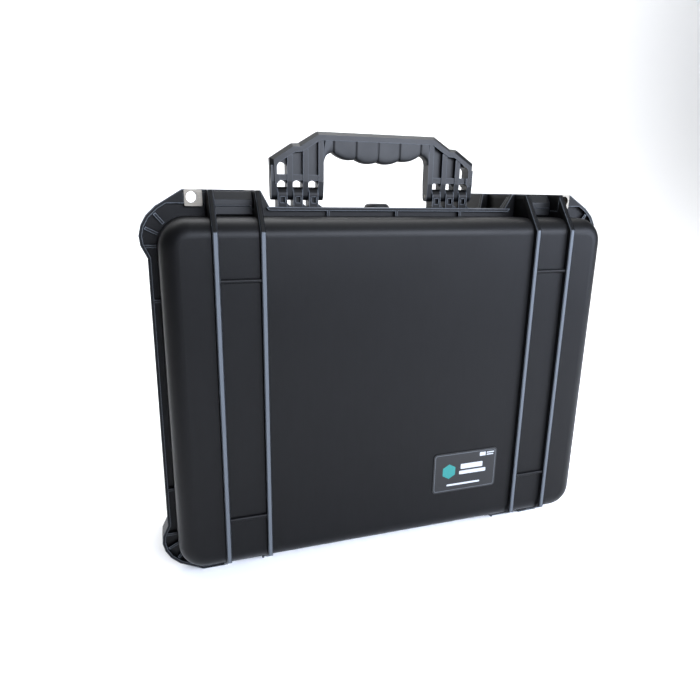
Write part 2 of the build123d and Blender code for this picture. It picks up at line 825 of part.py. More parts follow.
handle_form = handle_band()
finger_forms = []
gap_forms = []
for side in (-1, 1):
    for centre in finger_centres:
        edge_x = centre + finger_width / 2
        top_z = pivot_z + outline_height(edge_x) - band + overlap
        finger_forms.append(finger(side * centre, top_z))
    for centre in knuckle_centres:
        gap_forms.append(arched_gap(side * centre, pivot_z - overlap, pivot_z + window_high))
    gap_forms.append(arched_gap(side * knuckle_centres[-1], pivot_z + cross_bar_high,
                                pivot_z + upper_window_high))
with BuildPart() as handle_frame:
    add(handle_form)
    for form in gap_forms:
        add(form, mode=Mode.SUBTRACT)
    for form in finger_forms:
        add(form)
    for side in (-1, 1):
        leg_low, leg_high = sorted((side * leg_inner_x, side * leg_outer_x))
        bar_half = handle_depth / 2 - 2 * finger_step
        add(block((leg_low, pivot_y - bar_half, pivot_z + window_high),
                  (leg_high, pivot_y + bar_half, pivot_z + cross_bar_high)))
        add(bar_x(side * handle_pin_middle, handle_pin_length, handle_pivot, handle_bore),
            mode=Mode.SUBTRACT)
finish(handle_frame.part, "handle_frame")


# Grip: a soft filling under the bar with a wave for each finger, curving into both legs
def grip_profile():
    """Corners of the grip's underside from the left leg to the right one."""
    end = leg_inner_x - grip_side_gap
    low_z = pivot_z + grip_low_rise
    end_z = pivot_z + grip_end_rise
    starts = [(n - grip_waves / 2) * grip_wave for n in range(grip_waves + 1)]
    heights = [end_z + (low_z - end_z) * (1 - (x / starts[-1]) ** 2) for x in starts]
    return end, end_z, list(zip(starts, heights))


grip_end, grip_end_z, wave_nodes = grip_profile()
with BuildPart() as handle_grip:
    with BuildSketch(front_plane(0, pivot_y)):
        with BuildLine():
            left_corner = (-grip_end, grip_end_z - grip_corner)
            right_corner = (grip_end, grip_end_z - grip_corner)
            RadiusArc(left_corner, wave_nodes[0], grip_corner_arc)
            for start, end in zip(wave_nodes, wave_nodes[1:]):
                RadiusArc(start, end, -grip_wave)
            RadiusArc(wave_nodes[-1], right_corner, grip_corner_arc)
            Polyline(right_corner, (grip_end, bar_underside_z), (-grip_end, bar_underside_z),
                     left_corner)
        make_face()
    extrude(amount=grip_depth / 2, both=True)
finish(handle_grip.part, "handle_grip")


# Pressure valve: stem through the wall, nut inside, seal, vent disc and cap outside
with BuildPart() as valve_body:
    with Locations((0, valve_y, valve_flange_z)):
        Cylinder(valve_flange_radius, valve_flange, align=(Align.CENTER, Align.CENTER, Align.MIN))
    with Locations((0, valve_y, valve_flange_z + valve_flange / 2)):
        Cylinder(valve_stem_radius, valve_stem_length,
                 align=(Align.CENTER, Align.CENTER, Align.MAX))
    with Locations((0, valve_y, valve_seat_z)):
        Cylinder(valve_bore_radius, 2 * valve_reach, mode=Mode.SUBTRACT)
finish(valve_body.part, "valve_body")

with BuildPart() as valve_seal:
    with BuildSketch(Plane(origin=(0, valve_y, valve_seat_z))):
        Circle(valve_seal_radius)
        Circle(valve_stem_radius + valve_stem_clearance, mode=Mode.SUBTRACT)
    extrude(amount=valve_seal_height)
finish(valve_seal.part, "valve_seal")

with BuildPart() as valve_disc:
    with BuildSketch(Plane(origin=(0, valve_y, valve_disc_z))):
        Circle(valve_disc_radius)
    extrude(amount=valve_disc_height)
finish(valve_disc.part, "valve_disc")

with BuildPart() as valve_cap:
    cap_low_z = valve_seat_z + valve_cap_lift
    with BuildSketch(Plane(origin=(0, valve_y, cap_low_z))):
        Circle(valve_cap_radius)
    extrude(amount=wall_top_z + valve_cap_rise - cap_low_z)
    fillet(valve_cap.edges().group_by(Axis.Z)[-1], valve_cap_rounding)
    with BuildSketch(Plane(origin=(0, valve_y, cap_low_z))):
        Circle(valve_cap_radius - valve_cap_wall)
    extrude(amount=valve_disc_z + valve_disc_height - cap_low_z, mode=Mode.SUBTRACT)
finish(valve_cap.part, "valve_cap")

with BuildPart() as valve_nut:
    with BuildSketch(Plane(origin=(0, valve_y, wall_top_z - wall - valve_nut_gap))):
        RegularPolygon(valve_nut_radius, 6)
        Circle(valve_stem_radius + valve_stem_clearance / 2, mode=Mode.SUBTRACT)
    extrude(amount=-valve_nut_height)
finish(valve_nut.part, "valve_nut")


# Foam: a pad on the base's floor, a block with the instrument's pocket, and the lid's liner
def foam_slab(plane, thickness):
    """Slab that stands on plane, with its far edges rounded to sit in the cavity's corners."""
    with BuildPart() as slab:
        with BuildSketch(plane):
            RectangleRounded(2 * foam_half_u, 2 * foam_half_v, foam_radius)
        extrude(amount=thickness)
        far = slab.faces().sort_by(Axis(plane.origin, plane.z_dir))[-1]
        fillet(far.edges(), pad_rounding)
    return slab.part


finish(foam_slab(base_plane(base_floor_y - pad_thickness), pad_thickness), "base_foam_pad")
finish(foam_slab(lid_plane(lid_floor_y + lid_foam_thickness), lid_foam_thickness), "lid_foam")

with BuildPart() as base_foam_block:
    with BuildSketch(base_plane(parting_y + foam_gap)):
        RectangleRounded(2 * foam_half_u, 2 * foam_half_v, foam_radius)
    extrude(amount=base_floor_y - pad_thickness - 2 * foam_gap - parting_y)
    with BuildSketch(base_plane(parting_y + foam_gap)):
        RectangleRounded(pocket_width, pocket_height, pocket_radius)
    extrude(amount=pocket_depth, mode=Mode.SUBTRACT)
finish(base_foam_block.part, "base_foam_block")


# Label on the lid's face
with BuildPart() as label_plate:
    with BuildSketch(front_plane(label_x, lid_face_y)):
        with Locations((0, label_z)):
            RectangleRounded(label_width, label_height, label_radius)
    extrude(amount=label_thickness)
finish(label_plate.part, "label_plate")
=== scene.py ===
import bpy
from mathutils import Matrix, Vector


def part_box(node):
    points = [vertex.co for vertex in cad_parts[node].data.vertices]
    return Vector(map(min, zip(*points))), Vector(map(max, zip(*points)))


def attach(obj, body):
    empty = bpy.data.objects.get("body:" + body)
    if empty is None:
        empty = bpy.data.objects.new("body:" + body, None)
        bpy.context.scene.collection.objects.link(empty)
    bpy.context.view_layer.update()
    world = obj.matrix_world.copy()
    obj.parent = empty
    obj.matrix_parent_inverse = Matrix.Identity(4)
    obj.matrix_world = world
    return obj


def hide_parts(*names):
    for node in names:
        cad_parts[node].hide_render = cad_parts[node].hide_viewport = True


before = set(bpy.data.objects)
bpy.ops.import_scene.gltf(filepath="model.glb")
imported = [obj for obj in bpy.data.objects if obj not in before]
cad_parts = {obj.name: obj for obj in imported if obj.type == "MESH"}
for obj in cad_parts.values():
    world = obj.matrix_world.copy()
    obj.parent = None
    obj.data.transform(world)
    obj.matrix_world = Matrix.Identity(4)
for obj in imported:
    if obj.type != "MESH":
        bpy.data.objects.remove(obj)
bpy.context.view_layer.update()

import math

import bmesh
import bpy
from mathutils import Matrix, Vector

print("frame loaded")
mm = 0.001
# Occlusion thresholds for the painted edge highlight and the painted corner shade
occlusion = {"samples": 8, "edgeStart": 0.85, "edgeFull": 0.45,
             "cornerFull": 0.35, "cornerStart": 0.85}
polymerIor = 1.49
filmReliefMm = 0.05
filmPeelStrength = 0.15
foamFinish = {"poreStrength": 0.8, "rough": 0.95, "specular": 0.2, "sheen": 0.15}
sharpDegrees = 35


def linearColour(hexColour):
    channels = [int(hexColour[i:i + 2], 16) / 255 for i in (1, 3, 5)]
    return [c / 12.92 if c <= 0.04045 else ((c + 0.055) / 1.055) ** 2.4 for c in channels] + [1.0]


# Adds one node, makes its settings, and fills its inputs with values or links them to sockets
def addNode(tree, kind, inputs=None, **settings):
    node = tree.nodes.new(kind)
    for name, value in settings.items():
        setattr(node, name, value)
    for name, value in (inputs or {}).items():
        if isinstance(value, bpy.types.NodeSocket):
            tree.links.new(value, node.inputs[name])
        else:
            node.inputs[name].default_value = value
    return node


def newMaterial(name):
    material = bpy.data.materials.new(name)
    material.use_nodes = True
    material.node_tree.nodes.clear()
    return material, material.node_tree


def closeMaterial(tree, shader):
    addNode(tree, "ShaderNodeOutputMaterial", {"Surface": shader.outputs[0]})


# Object coordinates, stretched along X, Y and Z
def objectPattern(tree, stretch=(1, 1, 1)):
    place = addNode(tree, "ShaderNodeTexCoord")
    return addNode(tree, "ShaderNodeMapping", {"Vector": place.outputs["Object"], "Scale": stretch})


# How often a pattern of this size repeats in a metre
def perMetre(sizeMm):
    return 1000 / sizeMm


def mixColours(tree, factor, first, second):
    return addNode(tree, "ShaderNodeMix", {0: factor, 6: first, 7: second}, data_type="RGBA")


# A skin's own dark and light tone, mixed by a pattern
def blendTones(tree, factor, look):
    return mixColours(tree, factor, linearColour(look["dark"]), linearColour(look["light"]))


# Injection-moulded polypropylene: a soft satin skin with fine pebbled grain and faint flow streaks
def mouldedPolypropylene(name, look):
    material, tree = newMaterial(name)
    place = objectPattern(tree)
    streakPlace = objectPattern(tree, look["streakStretch"])
    grain = addNode(tree, "ShaderNodeTexNoise", {
        "Vector": place.outputs[0], "Scale": perMetre(look["grainMm"]), "Detail": 3.0, "Roughness": 0.6})
    streak = addNode(tree, "ShaderNodeTexNoise", {
        "Vector": streakPlace.outputs[0], "Scale": perMetre(look["streakMm"]), "Detail": 2.0})
    cloud = addNode(tree, "ShaderNodeTexNoise", {
        "Vector": place.outputs[0], "Scale": perMetre(look["cloudMm"]), "Detail": 3.0})
    tone = blendTones(tree, streak.outputs["Fac"], look)
    rough = addNode(tree, "ShaderNodeMapRange", {
        "Value": cloud.outputs["Fac"], "To Min": look["roughLow"], "To Max": look["roughHigh"]})
    fine = addNode(tree, "ShaderNodeBump", {
        "Height": grain.outputs["Fac"], "Strength": look["grainStrength"],
        "Distance": look["grainDepthMm"] * mm})
    bump = addNode(tree, "ShaderNodeBump", {
        "Height": streak.outputs["Fac"], "Strength": look["streakStrength"],
        "Distance": look["grainDepthMm"] * mm, "Normal": fine.outputs[0]})
    # Edges and thin lips are painted paler as a painted highlight, and corners and recesses are painted
    # darker as a painted shade
    edge = addNode(tree, "ShaderNodeAmbientOcclusion", {"Distance": look["edgeHighlightMm"] * mm},
                   inside=True, samples=occlusion["samples"])
    edgeHighlight = addNode(tree, "ShaderNodeMapRange", {
        "Value": edge.outputs["AO"], "From Min": occlusion["edgeStart"],
        "From Max": occlusion["edgeFull"], "To Min": 0.0, "To Max": look["edgeHighlightStrength"]})
    colour = mixColours(tree, edgeHighlight.outputs[0], tone.outputs[2], linearColour(look["edgeHighlight"]))
    if "crestHighlight" in look:
        # The rib crests stand out furthest; a band at their depth gets a painted highlight
        depth = addNode(tree, "ShaderNodeSeparateXYZ", {"Vector": place.outputs[0]})
        crest = addNode(tree, "ShaderNodeMapRange", {
            "Value": depth.outputs["Y"], "From Min": look["crestFromMm"] * mm,
            "From Max": look["crestToMm"] * mm, "To Min": 0.0, "To Max": look["crestHighlight"]})
        colour = mixColours(tree, crest.outputs[0], colour.outputs[2], linearColour(look["edgeHighlight"]))
    # Painted shade: corners and recesses within reach of the occlusion rays are darkened towards the corner
    # tone
    corner = addNode(tree, "ShaderNodeAmbientOcclusion", {"Distance": look["cornerMm"] * mm},
                     samples=occlusion["samples"])
    shade = addNode(tree, "ShaderNodeMapRange", {
        "Value": corner.outputs["AO"], "From Min": occlusion["cornerFull"],
        "From Max": occlusion["cornerStart"], "To Min": look["cornerShade"], "To Max": 0.0})
    shaded = mixColours(tree, shade.outputs[0], colour.outputs[2], linearColour(look["corner"]))
    shader = addNode(tree, "ShaderNodeBsdfPrincipled", {
        "Base Color": shaded.outputs[2], "Roughness": rough.outputs[0], "IOR": look["ior"],
        "Specular IOR Level": look["specular"], "Normal": bump.outputs[0]})
    closeMaterial(tree, shader)
    return material


# Brushed stainless steel: satin grey with fine lines along X
def brushedStainless(name, look):
    material, tree = newMaterial(name)
    place = objectPattern(tree, look["brushStretch"])
    brush = addNode(tree, "ShaderNodeTexNoise", {
        "Vector": place.outputs[0], "Scale": perMetre(look["brushMm"]), "Detail": 2.0})
    tone = blendTones(tree, brush.outputs["Fac"], look)
    rough = addNode(tree, "ShaderNodeMapRange", {
        "Value": brush.outputs["Fac"], "To Min": look["roughLow"], "To Max": look["roughHigh"]})
    bump = addNode(tree, "ShaderNodeBump", {
        "Height": brush.outputs["Fac"], "Strength": look["brushStrength"],
        "Distance": filmReliefMm * mm})
    shader = addNode(tree, "ShaderNodeBsdfPrincipled", {
        "Base Color": tone.outputs[2], "Metallic": 1.0, "Roughness": rough.outputs[0],
        "Normal": bump.outputs[0]})
    closeMaterial(tree, shader)
    return material


# Open-cell polyurethane foam: matt, with dark pores that swallow the light
def openCellFoam(name, look):
    material, tree = newMaterial(name)
    place = objectPattern(tree)
    pores = addNode(tree, "ShaderNodeTexVoronoi", {
        "Vector": place.outputs[0], "Scale": perMetre(look["poreMm"])}, feature="F1")
    cloud = addNode(tree, "ShaderNodeTexNoise", {
        "Vector": place.outputs[0], "Scale": perMetre(look["cloudMm"]), "Detail": 4.0})
    openness = addNode(tree, "ShaderNodeMapRange", {
        "Value": pores.outputs["Distance"], "From Min": 0.1, "From Max": 0.6})
    tone = mixColours(tree, openness.outputs[0], linearColour(look["pore"]), linearColour(look["skin"]))
    cloudy = mixColours(tree, cloud.outputs["Fac"], tone.outputs[2], linearColour(look["light"]))
    bump = addNode(tree, "ShaderNodeBump", {
        "Height": pores.outputs["Distance"], "Strength": foamFinish["poreStrength"],
        "Distance": look["poreDepthMm"] * mm})
    shader = addNode(tree, "ShaderNodeBsdfPrincipled", {
        "Base Color": cloudy.outputs[2], "Roughness": foamFinish["rough"],
        "Specular IOR Level": foamFinish["specular"],
        "Sheen Weight": foamFinish["sheen"], "Normal": bump.outputs[0]})
    closeMaterial(tree, shader)
    return material


# Printed polyester film: even colour under a satin clear layer with a faint orange peel
def printedFilm(name, look):
    material, tree = newMaterial(name)
    place = objectPattern(tree)
    peel = addNode(tree, "ShaderNodeTexNoise", {
        "Vector": place.outputs[0], "Scale": perMetre(look["peelMm"]), "Detail": 2.0})
    tone = blendTones(tree, peel.outputs["Fac"], look)
    rough = addNode(tree, "ShaderNodeMapRange", {
        "Value": peel.outputs["Fac"], "To Min": look["roughLow"], "To Max": look["roughHigh"]})
    bump = addNode(tree, "ShaderNodeBump", {
        "Height": peel.outputs["Fac"], "Strength": filmPeelStrength,
        "Distance": filmReliefMm * mm})
    shader = addNode(tree, "ShaderNodeBsdfPrincipled", {
        "Base Color": tone.outputs[2], "Roughness": rough.outputs[0], "IOR": polymerIor,
        "Specular IOR Level": look["specular"], "Normal": bump.outputs[0]})
    closeMaterial(tree, shader)
    return material


# Across these skins the pale edge tone is a painted highlight and the corner tone is a painted shade
caseSkin = mouldedPolypropylene("mouldedPolypropylene", {
    "dark": "#030303", "light": "#070708", "edgeHighlight": "#959da6", "corner": "#050506",
    "grainMm": 1.3,  # the real grain is about 0.4 mm, too fine to show
    "grainStrength": 0.35, "grainDepthMm": 0.12,
    "streakMm": 2.2, "streakStretch": (1.0, 1.0, 0.09), "streakStrength": 0.25,
    "cloudMm": 60, "roughLow": 0.38, "roughHigh": 0.48, "ior": 1.49, "specular": 0.13,
    "edgeHighlightStrength": 0.3, "edgeHighlightMm": 1.4, "cornerMm": 9.0, "cornerShade": 0.75,
    "crestFromMm": -93.2, "crestToMm": -94.1, "crestHighlight": 0.24})
fittingSkin = mouldedPolypropylene("glassFilledNylon", {
    "dark": "#08090a", "light": "#0f1012", "edgeHighlight": "#4e545c", "corner": "#040404",
    "grainMm": 0.9, "grainStrength": 0.3, "grainDepthMm": 0.1,
    "streakMm": 3.0, "streakStretch": (0.4, 1.0, 1.0), "streakStrength": 0.1,
    "cloudMm": 25, "roughLow": 0.36, "roughHigh": 0.5, "ior": 1.53, "specular": 0.2,
    "edgeHighlightStrength": 0.4, "edgeHighlightMm": 1.4, "cornerMm": 8.0, "cornerShade": 0.8})
gripSkin = mouldedPolypropylene("overmouldedRubber", {
    "dark": "#0b0c0d", "light": "#141516", "edgeHighlight": "#2b2e32", "corner": "#040404",
    "grainMm": 0.8, "grainStrength": 0.5, "grainDepthMm": 0.12,
    "streakMm": 4.0, "streakStretch": (1.0, 1.0, 1.0), "streakStrength": 0.1,
    "cloudMm": 20, "roughLow": 0.55, "roughHigh": 0.7, "ior": 1.5, "specular": 0.4,
    "edgeHighlightStrength": 0.4, "edgeHighlightMm": 1.2, "cornerMm": 6.0, "cornerShade": 0.8})
sealSkin = mouldedPolypropylene("siliconeRubber", {
    "dark": "#17181a", "light": "#222426", "edgeHighlight": "#2c2f33", "corner": "#0a0a0b",
    "grainMm": 1.5, "grainStrength": 0.1, "grainDepthMm": 0.05,
    "streakMm": 6.0, "streakStretch": (1.0, 1.0, 1.0), "streakStrength": 0.1,
    "cloudMm": 30, "roughLow": 0.35, "roughHigh": 0.5, "ior": 1.43, "specular": 0.5,
    "edgeHighlightStrength": 0.1, "edgeHighlightMm": 0.4, "cornerMm": 3.0, "cornerShade": 0.5})
steelSkin = brushedStainless("brushedStainless", {
    "dark": "#57534b", "light": "#77726a", "brushMm": 0.7, "brushStretch": (0.06, 1.0, 1.0),
    "roughLow": 0.4, "roughHigh": 0.55, "brushStrength": 0.3})
foamSkin = openCellFoam("openCellFoam", {
    "pore": "#0c0c0d", "skin": "#2b2c2e", "light": "#3a3b3d",
    "poreMm": 1.4,  # the real cells are about 0.6 mm, too fine to show
    "poreDepthMm": 0.6, "cloudMm": 30})
filmBlack = printedFilm("printedFilmBlack", {
    "dark": "#0a0a0b", "light": "#111213", "peelMm": 1.5, "specular": 0.3,
    "roughLow": 0.3, "roughHigh": 0.42})
filmWhite = printedFilm("printedFilmWhite", {
    "dark": "#8d9094", "light": "#a3a6a8", "peelMm": 1.5, "specular": 0.3,
    "roughLow": 0.35, "roughHigh": 0.5})
filmGrey = printedFilm("printedFilmGrey", {
    "dark": "#3b3e41", "light": "#4b4e51", "peelMm": 1.5, "specular": 0.3,
    "roughLow": 0.35, "roughHigh": 0.5})
filmTeal = printedFilm("printedFilmTeal", {
    "dark": "#155c59", "light": "#1c6c67", "peelMm": 1.5, "specular": 0.3,
    "roughLow": 0.35, "roughHigh": 0.5})
membraneSkin = printedFilm("ventMembrane", {
    "dark": "#c8c8c2", "light": "#dcdcd6", "peelMm": 0.8, "specular": 0.3,
    "roughLow": 0.7, "roughHigh": 0.85})
print("materials made")

# CAD nodes that stay, each in the finish its real piece has
for nodeName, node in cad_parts.items():
    skin = caseSkin
    if "pin" in nodeName or "padlock_guard" in nodeName:
        skin = steelSkin
    elif nodeName.startswith(("latch", "handle", "valve_cap", "valve_body", "valve_nut")):
        skin = fittingSkin
    elif "seal" in nodeName:
        skin = sealSkin
    elif nodeName == "valve_disc":
        skin = membraneSkin
    elif nodeName == "label_plate":
        skin = filmBlack
    node.data.materials.clear()
    node.data.materials.append(skin)
print("frame nodes finished")


# Turns a bmesh into a finished piece that rides on a body
def finishPiece(name, shape, skin, body, smooth=True):
    bmesh.ops.remove_doubles(shape, verts=shape.verts, dist=1e-6)
    bmesh.ops.recalc_face_normals(shape, faces=shape.faces)
    mesh = bpy.data.meshes.new(name)
    shape.to_mesh(mesh)
    shape.free()
    for polygon in mesh.polygons:
        polygon.use_smooth = smooth
    if smooth:
        mesh.set_sharp_from_angle(angle=math.radians(sharpDegrees))
    piece = bpy.data.objects.new(name, mesh)
    bpy.context.scene.collection.objects.link(piece)
    mesh.materials.append(skin)
    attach(piece, body)
    return piece


baseFoam = {"cellMm": 12.7, "cutMm": 0.9, "cutDepthMm": 2.5, "pocketWide": 320, "pocketHigh": 220,
            "pocketDeep": 90, "cornerMm": 22}
lidFoam = {"peakMm": 50.0, "wavePower": 1.3, "depthMm": 16.0, "stepMm": 4.2, "borderMm": 10.0, "cornerMm": 22}


# Pulls the four corners of a slab's outline in to a radius
def roundOutline(shape, middle, halfWide, halfHigh, radius):
    for vert in shape.verts:
        x, z = vert.co.x - middle[0], vert.co.z - middle[1]
        overX, overZ = abs(x) - (halfWide - radius), abs(z) - (halfHigh - radius)
        if overX > 0 and overZ > 0:
            reach = math.hypot(overX, overZ)
            if reach > radius:
                vert.co.x -= math.copysign(overX * (1 - radius / reach), x)
                vert.co.z -= math.copysign(overZ * (1 - radius / reach), z)


# Base block: cubed pick-out foam with the instrument's pocket already taken out
def pickOutFoam(name, node, look):
    low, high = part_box(node)
    wide, tall = high[0] - low[0], high[2] - low[2]
    middle = ((low[0] + high[0]) / 2, (low[2] + high[2]) / 2)
    cell = look["cellMm"] * mm
    columns, rows = round(wide / cell), round(tall / cell)
    shape = bmesh.new()
    bmesh.ops.create_grid(shape, x_segments=columns, y_segments=rows, size=0.5,
                          matrix=Matrix.Translation((middle[0], low[1], middle[1]))
                          @ Matrix.Rotation(math.radians(90), 4, "X")
                          @ Matrix.Diagonal((wide, tall, 1, 1)))
    halfPocket = (look["pocketWide"] * mm / 2, look["pocketHigh"] * mm / 2)
    inPocket = [f for f in shape.faces
                if abs(f.calc_center_median().x - middle[0]) < halfPocket[0]
                and abs(f.calc_center_median().z - middle[1]) < halfPocket[1]]
    floor = bmesh.ops.extrude_face_region(shape, geom=inPocket)
    floorVerts = [g for g in floor["geom"] if isinstance(g, bmesh.types.BMVert)]
    floorFaces = [g for g in floor["geom"] if isinstance(g, bmesh.types.BMFace)]
    bmesh.ops.delete(shape, geom=inPocket, context="FACES_ONLY")
    bmesh.ops.translate(shape, verts=floorVerts, vec=(0, look["pocketDeep"] * mm, 0))
    top = [f for f in shape.faces if abs(f.normal.y) > 0.9]
    edge = [e for e in shape.edges if e.is_boundary]
    back = bmesh.ops.extrude_edge_only(shape, edges=edge)
    backVerts = [g for g in back["geom"] if isinstance(g, bmesh.types.BMVert)]
    for vert in backVerts:
        vert.co.y = high[1]
    bmesh.ops.holes_fill(shape, edges=[e for e in shape.edges if e.is_boundary], sides=0)
    roundOutline(shape, middle, wide / 2, tall / 2, look["cornerMm"] * mm)
    bmesh.ops.recalc_face_normals(shape, faces=shape.faces)
    bmesh.ops.inset_individual(shape, faces=[f for f in top if f.is_valid],
                               thickness=look["cutMm"] * mm, depth=0)
    bmesh.ops.inset_individual(shape, faces=[f for f in top if f.is_valid],
                               thickness=0.3 * mm, depth=0.8 * mm)
    piece = finishPiece(name, shape, foamSkin, "base", smooth=False)
    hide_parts(node)
    return piece


# Lid liner: convoluted foam, an egg-crate face on a flat backing
def convolutedFoam(name, node, look):
    low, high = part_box(node)
    wide, tall = high[0] - low[0], high[2] - low[2]
    middle = ((low[0] + high[0]) / 2, (low[2] + high[2]) / 2)
    step = look["stepMm"] * mm
    shape = bmesh.new()
    bmesh.ops.create_grid(shape, x_segments=round(wide / step), y_segments=round(tall / step), size=0.5,
                          matrix=Matrix.Translation((middle[0], high[1], middle[1]))
                          @ Matrix.Rotation(math.radians(90), 4, "X")
                          @ Matrix.Diagonal((wide, tall, 1, 1)))
    turn = 2 * math.pi / (look["peakMm"] * mm)
    for vert in shape.verts:
        x, z = vert.co.x - middle[0], vert.co.z - middle[1]
        inside = min(wide / 2 - abs(x), tall / 2 - abs(z)) / (look["borderMm"] * mm)
        fade = max(0.0, min(1.0, inside))
        wave = 0.5 - 0.5 * math.sin(x * turn) * math.sin(z * turn)
        vert.co.y -= look["depthMm"] * mm * fade * wave ** look["wavePower"]
    back = bmesh.ops.extrude_edge_only(shape, edges=[e for e in shape.edges if e.is_boundary])
    for vert in back["geom"]:
        if isinstance(vert, bmesh.types.BMVert):
            vert.co.y = low[1]
    bmesh.ops.holes_fill(shape, edges=[e for e in shape.edges if e.is_boundary], sides=0)
    roundOutline(shape, middle, wide / 2, tall / 2, look["cornerMm"] * mm)
    piece = finishPiece(name, shape, foamSkin, "lid")
    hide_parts(node)
    return piece


# Floor pad: a plain cut sheet of the same foam with its edges eased
def floorPad(name, node, look):
    low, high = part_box(node)
    shape = bmesh.new()
    middle = [(a + b) / 2 for a, b in zip(low, high)]
    size = [b - a for a, b in zip(low, high)]
    place = Matrix.Translation(middle) @ Matrix.Diagonal((*size, 1))
    bmesh.ops.create_cube(shape, size=1.0, matrix=place)
    corners = [e for e in shape.edges if abs(e.verts[0].co.y - e.verts[1].co.y) > size[1] / 2]
    bmesh.ops.bevel(shape, geom=corners, offset=look["cornerMm"] * mm, segments=8, profile=0.5,
                    affect="EDGES", material=-1)
    rim = [e for e in shape.edges if min(e.verts[0].co.y, e.verts[1].co.y) > high[1] - 1e-5]
    bmesh.ops.bevel(shape, geom=rim, offset=look["easeMm"] * mm, segments=4, profile=0.5,
                    affect="EDGES", material=-1)
    piece = finishPiece(name, shape, foamSkin, "base")
    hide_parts(node)
    return piece


pickOutFoam("foam_block_cubed", "base_foam_block", baseFoam)
convolutedFoam("foam_lid_convoluted", "lid_foam", lidFoam)
floorPad("foam_floor_pad", "base_foam_pad", {"cornerMm": 22, "easeMm": 11})
print("foam made")


# Label: a thin border and plain bars standing for print, with one simple mark
labelPrint = {
    "insetMm": 1.6, "borderMm": 0.7, "liftMm": 0.1, "cornerMm": 3.0,
    # across and up from the label's middle, then width, height and corner radius
    "barsMm": [(8.0, 5.8, 28, 6.2, 1.0), (9.5, -1.6, 34, 4.4, 0.8), (-1.5, -15.5, 42, 2.2, 0.6),
               (21.5, 18.0, 7.5, 4.6, 0.4), (31.5, 19.2, 9.5, 1.5, 0.4), (31.0, 16.6, 8.5, 1.3, 0.4)],
    "markMm": (-20.5, 1.5), "markRadiusMm": 9.0, "markSides": 6}


# Adds a flat rounded plate that faces -Y to a shape
def addPlate(shape, middle, size, radius):
    place = Matrix.Translation(middle) @ Matrix.Diagonal((*size, 1))
    made = bmesh.ops.create_cube(shape, size=1.0, matrix=place)
    edges = {e for v in made["verts"] for e in v.link_edges}
    corners = [e for e in edges if abs(e.verts[0].co.y - e.verts[1].co.y) > size[1] / 2]
    bmesh.ops.bevel(shape, geom=corners, offset=radius, segments=5, profile=0.5,
                    affect="EDGES", material=-1)


def labelPieces(look):
    low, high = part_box("label_plate")
    middleX, middleZ = (low[0] + high[0]) / 2, (low[2] + high[2]) / 2
    lift, radius, border = (look[key] * mm for key in ("liftMm", "cornerMm", "borderMm"))
    inset = look["insetMm"] * mm
    wide, tall = high[0] - low[0] - 2 * inset, high[2] - low[2] - 2 * inset
    shape = bmesh.new()
    addPlate(shape, (middleX, low[1], middleZ), (wide, 2 * lift, tall), radius)
    finishPiece("label_border", shape, filmGrey, "lid", smooth=False)
    shape = bmesh.new()
    addPlate(shape, (middleX, low[1], middleZ), (wide - 2 * border, 3 * lift, tall - 2 * border),
             radius - border)
    finishPiece("label_face", shape, filmBlack, "lid", smooth=False)
    shape = bmesh.new()
    for x, z, barWide, barTall, barRadius in look["barsMm"]:
        addPlate(shape, (middleX + x * mm, low[1], middleZ + z * mm),
                 (barWide * mm, 4 * lift, barTall * mm), barRadius * mm)
    finishPiece("label_bars", shape, filmWhite, "lid", smooth=False)
    shape = bmesh.new()
    place = (middleX + look["markMm"][0] * mm, low[1], middleZ + look["markMm"][1] * mm)
    markRadius = look["markRadiusMm"] * mm
    bmesh.ops.create_cone(shape, cap_ends=True, segments=look["markSides"],
                          radius1=markRadius, radius2=markRadius, depth=4 * lift,
                          matrix=Matrix.Translation(place) @ Matrix.Rotation(math.radians(90), 4, "X"))
    finishPiece("label_mark", shape, filmTeal, "lid", smooth=False)


labelPieces(labelPrint)
print("label made")


# Grip: soft filling under the bar, crowned across its depth, with a wave for each finger
gripLook = {"waves": 4, "waveLengthMm": 25.4, "swellMm": 2.6, "seamMm": 1.1, "seamWidthMm": 1.4,
            "endRiseMm": 42.7, "lowRiseMm": 34.6, "cornerMm": 9.5, "pivotMm": 396.2,
            "stepMm": 0.8, "ringSteps": 28, "squareness": 0.4,
            "swellShare": 0.3, "swellPower": 0.8}


# Height of the grip's underside at a distance from its middle, in metres
def gripUnderside(x, look):
    halfWaves = look["waves"] * look["waveLengthMm"] / 2
    side = abs(x) / mm
    share = min(1.0, side / halfWaves)
    height = look["endRiseMm"] + (look["lowRiseMm"] - look["endRiseMm"]) * (1 - share ** 2)
    phase = (side / look["waveLengthMm"]) % 1.0
    if side < halfWaves:
        swell = math.sin(math.pi * phase) ** look["swellPower"] - look["swellShare"]
        height -= look["swellMm"] * swell
    else:
        over = min(1.0, (side - halfWaves) / look["cornerMm"])
        rounding = look["cornerMm"] * (1 - math.sqrt(1 - over ** 2))
        height += look["swellMm"] * look["swellShare"] - rounding
    return (look["pivotMm"] + height) * mm


